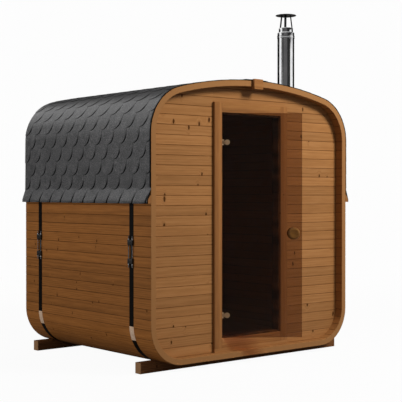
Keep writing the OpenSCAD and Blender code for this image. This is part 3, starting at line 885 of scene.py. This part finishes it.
def build_hoops():
    """Steel straps round the tube, narrowed between the tensioner's bars."""
    bar_low, bar_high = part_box("tensioner_front_right")
    waist_s = END_BASE + (bar_low.z + bar_high.z) / 2 - BASE_Z
    waist_half, ease = 12 * MM, 0.5 * MM
    # The strap narrows from 50 to 44 mm off the waist's middle.
    stops = [END_FLOOR * k / 4 for k in range(4)]
    stops += [END_FLOOR + (END_BASE - END_FLOOR) * k / 30 for k in range(31)]
    stops += [waist_s + d * MM for d in (-50, -44, 44, 50)]
    stops += [END_SIDE + (END_SHOULDER - END_SIDE) * k / 30 for k in range(31)]
    stops += [END_SHOULDER + (END_CROWN - END_SHOULDER) * k / 12 for k in range(1, 12)]
    loop = [(s, 1) for s in stops] + [(END_CROWN, 1)] + [(s, -1) for s in reversed(stops[1:])]
    for end in ("front", "back"):
        low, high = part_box("hoop_" + end)
        y, full, thick = (low.y + high.y) / 2, (high.y - low.y) / 2, high.x - HALF_W
        rings = []
        for s, side in loop:
            half = waist_half if abs(s - waist_s) < 47 * MM else full
            strap = [(-half, thick - ease), (-half + ease, thick), (half - ease, thick),
                     (half, thick - ease), (half, 0.1 * MM), (-half, 0.1 * MM)]
            rings.append([(on_tube(s, y + v, out, side), Vector((v, s, out)), 0.0)
                          for v, out in strap])
        pile = Pile()
        pile.loft(rings, ring_shut=True)
        pile.piece("strap_" + end, HOOP, "hoop_steel", "hoop_" + end)


def thread(pile, x, y, z0, z1, crest, pitch, steps=10):
    """A threaded rod: one true spiral of crest and root, closed at both ends."""
    # A metric thread is 0.61 of its pitch deep.
    root = crest - 0.61 * pitch
    count = (int((z1 - z0) / pitch) - 1) * steps
    crests, roots = [], []
    for line, r, ends, rise in ((crests, crest, steps + 1, 0), (roots, root, 1, 0.5)):
        for n in range(count + ends):
            a = 2 * math.pi * n / steps
            line.append(pile.point((x + r * math.cos(a), y + r * math.sin(a),
                                    z0 + pitch * (n / steps + rise))))
    for n in range(count):
        pile.faces.append((crests[n], crests[n + 1], roots[n + 1], roots[n]))
        pile.faces.append((roots[n], roots[n + 1], crests[n + steps + 1], crests[n + steps]))
    for loop, z in ((crests[:steps + 1] + [roots[0]], z0 - 1 * MM),
                    (crests[count:] + [roots[-1]], z1)):
        tip = pile.point((x, y, z))
        for a, b in zip(loop, loop[1:] + loop[:1]):
            pile.faces.append((tip, a, b))


def build_tensioners():
    """Two bars welded to the strap's ends, drawn together by two threaded rods with nuts."""
    rod_r, rod_pitch, rod_end = 4 * MM, 46 * MM, 30 * MM
    nut_h, nut_r, nut_soft = 8 * MM, 7.5 * MM, 0.9 * MM
    bar_h, lip_h, lip_in = 39 * MM, 4 * MM, 8 * MM
    for end in ("front", "back"):
        for side, word in ((-1, "left"), (1, "right")):
            place = "_%s_%s" % (end, word)
            low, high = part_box("tensioner" + place)
            y, half = (low.y + high.y) / 2, (high.y - low.y) / 2
            x_in, thick = min(abs(low.x), abs(high.x)), abs(high.x - low.x)
            z_low, z_high = low.z + rod_end, high.z - rod_end - bar_h
            pile, rods = Pile(), Pile()
            for z in (z_low, z_high):
                lay_bar(pile, 2 * half, bar_h, thick, 3 * MM,
                        lambda l, a, d: (side * (x_in + thick - d), y - half + l, z + a))
                # The bar's folded lip and the weld bead beside the strap.
                lay_bar(pile, 2 * half - 2 * lip_in, lip_h, thick, 1.2 * MM,
                        lambda l, a, d: (side * (x_in + thick - d), y - half + lip_in + l,
                                         z + (bar_h - lip_h) / 2 + a))
            rod_x = side * (x_in + 8 * MM)
            for edge in (-1, 1):
                rod_y = y + edge * rod_pitch / 2
                thread(rods, rod_x, rod_y, low.z, high.z, rod_r, 1.25 * MM)
                for z0 in (z_low - nut_h, z_high + bar_h):
                    z1, flat_r = z0 + nut_h, nut_r - nut_soft
                    rods.turn([(0, z0), (flat_r, z0), (nut_r, z0 + nut_soft),
                               (nut_r, z1 - nut_soft), (flat_r, z1), (0, z1)],
                              lambda u, v, h: (rod_x + u, rod_y + v, h), 6)
            pile.piece("tensioner_bars" + place, BLACK, "hoop_steel", "tensioner" + place)
            rods.piece("tensioner_rods" + place, ZINC, "tensioner_steel")


# ---- door ----

PIVOT = Vector(frame["joints"][0]["pos_m"])
AJAR = math.radians(37)
OUT = Vector((math.cos(AJAR), -math.sin(AJAR), 0))
FACE = Vector((-math.sin(AJAR), -math.cos(AJAR), 0))
GLASS_HALF = 4 * MM


def on_door(x, out, z):
    """A place on the door at rest: x from the hinge line, out from the middle of the glass."""
    return Vector((PIVOT.x, PIVOT.y, 0)) + OUT * x + FACE * out + Vector((0, 0, z))


def lay_bolt(pile, x, z):
    """A bolt through the glass, which joins what is on its two sides."""
    r, end = 5 * MM, GLASS_HALF + 1 * MM
    pile.turn([(0, -end), (r, -end), (r, end), (0, end)],
              lambda u, v, h: on_door(x + u, h, z + v), 24)


def build_hinges():
    """Turned clamp discs either side of the glass, their barrels, and the brackets' lugs."""
    clamp_low, clamp_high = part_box("hinge_clamps")
    clamp_r, clamp_x, soft = 21 * MM, 31 * MM, 1.2 * MM
    barrel_r, barrel_half, barrel_soft, web = 5 * MM, 12 * MM, 0.6 * MM, 7 * MM
    lug_h, lug_soft, pivot_in = 10 * MM, 0.8 * MM, 14 * MM
    lug_low = barrel_half + 0.3 * MM
    lug_top = lug_low + lug_h
    base, top = GLASS_HALF, GLASS_HALF + 5 * MM
    # The disc's profile, with its turned ring and the socket of its screw.
    disc = [(0, base), (clamp_r, base), (clamp_r, top - soft),
            (clamp_r - 0.35 * soft, top - 0.35 * soft), (clamp_r - soft, top)]
    disc += [(r * MM, top + h * MM) for r, h in (
        (7.5, 0), (7.0, -0.8), (6.2, -0.8), (5.8, 0.2), (3.0, 0.2), (2.6, -1.8), (0, -2.0))]
    clamps, brackets = Pile(), Pile()
    for z in (clamp_low.z + clamp_r, clamp_high.z - clamp_r):
        for face in (-1, 1):
            clamps.turn(disc, lambda u, v, h: on_door(clamp_x + u, face * h, z + v), 72)
        clamps.turn([(0, -barrel_half), (barrel_r - barrel_soft, -barrel_half),
                     (barrel_r, -barrel_half + barrel_soft), (barrel_r, barrel_half - barrel_soft),
                     (barrel_r - barrel_soft, barrel_half), (0, barrel_half)],
                    lambda u, v, h: on_door(u, v, z + h), 32)
        lay_bar(clamps, 13 * MM, 2 * barrel_half, web, 1 * MM,
                lambda l, a, d: on_door(l, web / 2 - d, z - barrel_half + a), tone=0.5)
        for face in (-1, 1):
            lay_bar(clamps, 12 * MM, 2 * barrel_half - 1 * MM, 4.5 * MM, 0.8 * MM,
                    lambda l, a, d: on_door(6.5 * MM + l, face * (3.6 * MM + d),
                                            z - barrel_half + 0.5 * MM + a), tone=0.5)
        lay_bolt(clamps, clamp_x, z)
        for up in (-1, 1):
            brackets.turn([(0, lug_low), (barrel_r, lug_low), (barrel_r, lug_top - lug_soft),
                           (barrel_r - lug_soft, lug_top), (0, lug_top)],
                          lambda u, v, h: (PIVOT.x + u, PIVOT.y + v, z + up * h), 32)
            lay_bar(brackets, pivot_in, 2 * barrel_r, lug_h, lug_soft,
                    lambda l, a, d: (PIVOT.x - pivot_in + l, PIVOT.y - barrel_r + a,
                                     z + up * (lug_low + d)), tone=0.5)
        lay_bar(brackets, 2 * lug_top, 2 * barrel_r, 2 * MM, 0.5 * MM,
                lambda l, a, d: (PIVOT.x - pivot_in + d, PIVOT.y - barrel_r + a,
                                 z - lug_top + l), tone=0.5)
    clamps.piece("glass_clamps", HINGE, "hinge_steel", "hinge_clamps", body=DOOR)
    brackets.piece("hinge_lugs", HINGE, "hinge_steel", "hinge_brackets")


def build_knobs():
    """A turned wooden knob each side of the glass: cove at the foot, round rim, dished face."""
    low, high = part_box("door_knobs")
    r, z, deep = (high.z - low.z) / 2, (low.z + high.z) / 2, 38 * MM
    glass_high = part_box("door_glass")[1]
    width = (glass_high.x - PIVOT.x - math.sin(AJAR) * GLASS_HALF) / math.cos(AJAR)
    x = width - 67 * MM
    # Shares of the knob's radius and of its depth.
    curve = [(0.0, 0.0), (0.54, 0.0), (0.56, 0.04), (0.57, 0.10), (0.62, 0.18), (0.72, 0.25),
             (0.84, 0.31), (0.93, 0.38), (0.98, 0.47), (1.0, 0.57), (0.995, 0.67),
             (0.965, 0.78), (0.91, 0.87), (0.84, 0.94), (0.77, 0.98), (0.70, 1.0),
             (0.62, 0.99), (0.54, 0.965), (0.42, 0.93), (0.28, 0.905), (0.14, 0.895), (0.0, 0.89)]
    pile = Pile()
    for face in (-1, 1):
        pile.turn([(r * a, GLASS_HALF + deep * h) for a, h in curve],
                  lambda u, v, h: on_door(x + u, face * h, z + v), 96,
                  start=Vector((3.0, 90 * MM, 40 * MM)))
    lay_bolt(pile, x, z)
    pile.piece("turned_knobs", KNOB, "knob_wood", "door_knobs", body=DOOR, smooth=50)


# ---- flue ----

def build_flue():
    """Insulated flue: outer pipe with its bead, locking band, neck, cap on straps, roof collar."""
    low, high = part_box("flue_pipe")
    x, y = (low.x + high.x) / 2, (low.y + high.y) / 2
    r = (high.x - low.x) / 2
    bore, neck, top = 57.5 * MM, 61 * MM, high.z - 39 * MM

    def spot(u, v, h):
        return (x + u, y + v, h)

    pipe = [(bore, low.z), (r, low.z), (r, top - 6 * MM), (r - 0.8 * MM, top - 2.5 * MM),
            (r - 3 * MM, top), (neck + 0.6 * MM, top), (neck, top + 1 * MM),
            (neck, high.z - 3 * MM), (neck - 0.8 * MM, high.z - 0.8 * MM),
            (neck - 1.8 * MM, high.z), (bore + 0.6 * MM, high.z), (bore, high.z - 1 * MM)]

    low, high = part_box("flue_band")
    out, h = (high.x - low.x) / 2, high.z - low.z
    waist = out - 1.6 * MM
    band = [(r - 0.5 * MM, low.z), (out - 1 * MM, low.z), (out, low.z + 1 * MM),
            (out, low.z + 0.22 * h), (waist, low.z + 0.34 * h), (waist, high.z - 0.34 * h),
            (out, high.z - 0.22 * h), (out, high.z - 1 * MM), (out - 1 * MM, high.z),
            (r - 0.5 * MM, high.z)]

    low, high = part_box("flue_collar")
    out = (high.x - low.x) / 2
    bevel = high.z - (out - r)
    collar = [(r + 0.1 * MM, low.z), (out, low.z), (out, bevel - 4 * MM),
              (out + 1.2 * MM, bevel - 2 * MM), (out, bevel), (r + 2.5 * MM, high.z - 1.5 * MM),
              (r + 2 * MM, high.z), (r + 0.1 * MM, high.z)]

    for name, profile, material, slot, node in (
            ("flue_outer_pipe", pipe, FLUE, "flue_steel", "flue_pipe"),
            ("flue_locking_band", band, FLUE, "flue_steel", "flue_band"),
            ("roof_collar", collar, COLLAR, "collar_sheet", "flue_collar")):
        pile = Pile()
        pile.turn(profile, spot, 128, shut=True)
        pile.piece(name, material, slot, node)

    low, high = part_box("rain_cap")
    out, cap_h, sheet = (high.x - low.x) / 2, 17 * MM, 1.2 * MM
    rim = high.z - cap_h
    cone = [(0.0, high.z), (0.12 * out, high.z - 0.8 * MM)]
    cone += [(out * k / 8, rim + 3 * MM + (cap_h - 3 * MM) * (1 - k / 8)) for k in range(2, 8)]
    cone += [(out - 1.2 * MM, rim + 3.4 * MM), (out, rim + 2.0 * MM), (out, rim + 0.8 * MM),
             (out - 1 * MM, rim), (out - 3 * MM, rim + 0.4 * MM)]
    under = [(a - 0.2 * MM, h - sheet) for a, h in cone[-6:1:-1]]
    pile = Pile()
    pile.turn(cone + under + [(0.0, high.z - sheet - 1 * MM)], spot, 128)
    strap_r, lean, strap_w, strap_t = 59.25 * MM, math.radians(8), 20 * MM, 2.5 * MM
    for turn in (100, 220, 340):
        a = math.radians(turn)
        way = Vector((math.cos(a), math.sin(a), 0))
        across = Vector((-math.sin(a), math.cos(a), 0))

        def strap(l, w, d):
            radial = strap_r - l * math.sin(lean) + (d - strap_t / 2) * math.cos(lean)
            place = Vector((x, y, low.z + 0.5 * MM + l * math.cos(lean)))
            return place + way * radial + across * (w - strap_w / 2)
        lay_bar(pile, (rim - low.z + 8 * MM) / math.cos(lean), strap_w, strap_t, 0.5 * MM,
                strap, tone=0.5)
    pile.piece("rain_cap_on_straps", CAP, "cap_sheet", "rain_cap")


# ---- set ----

def build_floor():
    """Pale floor: white to the eye, with a little shade near the sauna."""
    reach = 60.0
    mesh = new_mesh("studio_floor", [(-reach, -reach, 0), (reach, -reach, 0), (reach, reach, 0),
                                     (-reach, reach, 0)], [(0, 1, 2, 3)])
    floor = stand("studio_floor", mesh)
    made, tree = new_material("pale_studio_floor")
    path = add(tree, "LightPath")
    tone = add(tree, "Mix", {0: path["Is Camera Ray"], 6: paint("#84827f"), 7: paint("#f4f4f3")},
               data_type="RGBA")[2]
    diffuse = add(tree, "BsdfDiffuse", [tone])[0]
    white = add(tree, "Emission", (paint("#fdfdfd"), 1.0))[0]
    place = add(tree, "TexCoord")["Object"]
    far = add(tree, "VectorMath", [place], operation="LENGTH")["Value"]
    plain = add(tree, "MapRange", (far, 3.0, 8.0, 0.97, 1.0), interpolation_type="SMOOTHSTEP")[0]
    eye = add(tree, "Math", (path["Is Camera Ray"], path["Is Transmission Ray"]),
              operation="MAXIMUM")[0]
    first = add(tree, "Math", (path["Diffuse Depth"], 0.5), operation="LESS_THAN")[0]
    eye = add(tree, "Math", (eye, first), operation="MULTIPLY")[0]
    seen = add(tree, "Math", (eye, plain), operation="MULTIPLY")[0]
    mixed = add(tree, "MixShader", (seen, diffuse, white))
    add(tree, "OutputMaterial", mixed[:1])
    mesh.materials.append(made)


def build_sky():
    """White studio all round: full to the eye, in gloss and through glass, dim as a light."""
    world = bpy.data.worlds.new("white_studio")
    world.use_nodes = True
    tree = world.node_tree
    tree.nodes.clear()
    path = add(tree, "LightPath")
    seen = add(tree, "Math", (path["Is Camera Ray"], path["Is Glossy Ray"]),
               operation="MAXIMUM")[0]
    clear = add(tree, "Math", (path["Diffuse Depth"], 0.5), operation="LESS_THAN")[0]
    clear = add(tree, "Math", (path["Is Transmission Ray"], clear), operation="MULTIPLY")[0]
    seen = add(tree, "Math", (seen, clear), operation="MAXIMUM")[0]
    level = add(tree, "MapRange", (seen, 0, 1, 0.25, 1.0))[0]
    sky = add(tree, "Background", (paint("#fdfdfd"), level))
    add(tree, "OutputWorld", sky[:1])
    bpy.context.scene.world = world


def build_lamps():
    """Soft key from the right and front, fill from the left, and one from behind."""
    centre = Vector((0, (FRONT_Y + BACK_Y) / 2, 1.1))
    # Each lamp: its way from the sauna, distance and width in metres, and strength in watts.
    for name, way, distance, size, strength in (
            ("key", (0.34, -0.79, 0.62), 6.5, 1.8, 375.0),
            ("fill", (-0.90, 0.10, 0.17), 6.5, 3.0, 118.0),
            ("back", (0.62, 0.75, 0.22), 7.5, 3.4, 190.0)):
        light = bpy.data.lights.new(name, "AREA")
        light.shape, light.size, light.energy = "DISK", size, strength
        lamp = stand(name, light)
        # Only the fill shows in gloss: the others would glare off the roof.
        lamp.visible_glossy = name == "fill"
        place = Vector(way).normalized()
        lamp.location = centre + place * distance
        lamp.rotation_euler = place.to_track_quat("Z", "Y").to_euler()


def build_flags():
    """Dark cards that only gloss sees: they put the streaks into the polished steel."""
    # Each card: its distance, where it starts and ends in degrees round, its heights, its grey.
    for name, reach, first, last, low, high, grey in (
            ("card_back", 14.0, 20.0, 82.0, 0.0, 26.0, "#141414"),
            ("card_side", 14.0, 82.0, 122.0, 0.0, 7.0, "#141414"),
            ("card_low", 14.0, 122.0, 158.0, 0.0, 3.2, "#1c1c1c"),
            ("card_left", 5.2, 154.0, 196.0, 0.0, 6.5, "#464646"),
            ("card_eye", 5.2, 196.0, 250.0, 0.0, 6.5, "#5e5d5e"),
            ("card_front", 14.0, 236.0, 291.0, 0.0, 16.0, "#303030"),
            ("card_high", 14.0, 291.0, 352.0, 7.0, 26.0, "#303030"),
            ("card_right", 14.0, 334.0, 388.0, 0.0, 7.0, "#101010")):
        made, tree = new_material(name + "_felt")
        glow = add(tree, "Emission", [paint(grey)])
        add(tree, "OutputMaterial", glow[:1])
        points, steps = [], 12
        for k in range(steps + 1):
            a = math.radians(first + (last - first) * k / steps)
            for z in (low - 0.01, high):
                points.append((reach * math.cos(a), reach * math.sin(a), z))
        faces = [(2 * k, 2 * k + 2, 2 * k + 3, 2 * k + 1) for k in range(steps)]
        mesh = new_mesh(name, points, faces)
        mesh.materials.append(made)
        card = stand(name, mesh)
        card.visible_camera = card.visible_diffuse = card.visible_shadow = False
        card.visible_transmission = False


def build_camera():
    """At the height of the eyes, 8 m off, from the front left."""
    lens = bpy.data.cameras.new("camera")
    lens.sensor_width, lens.lens, lens.clip_end = 36.0, 89.9, 200.0
    camera = stand("camera", lens)
    camera.location = (-5.461, -5.9345, 1.3355)
    camera.rotation_euler = (math.radians(90 - 0.49), 0.0, math.radians(-40.23))
    bpy.context.scene.camera = camera
    bpy.context.scene.view_settings.view_transform = "Standard"


build_camera()
build_floor()
build_sky()
build_lamps()
build_flags()
build_staves()
build_walls()
build_door_frame()
build_runners()
build_roof_trim()
build_shingles()
build_hoops()
build_tensioners()
build_hinges()
build_knobs()
build_flue()

glass = frame["nodes"]["door_glass"]
glass.data.materials.clear()
glass.data.materials.append(GLASS)
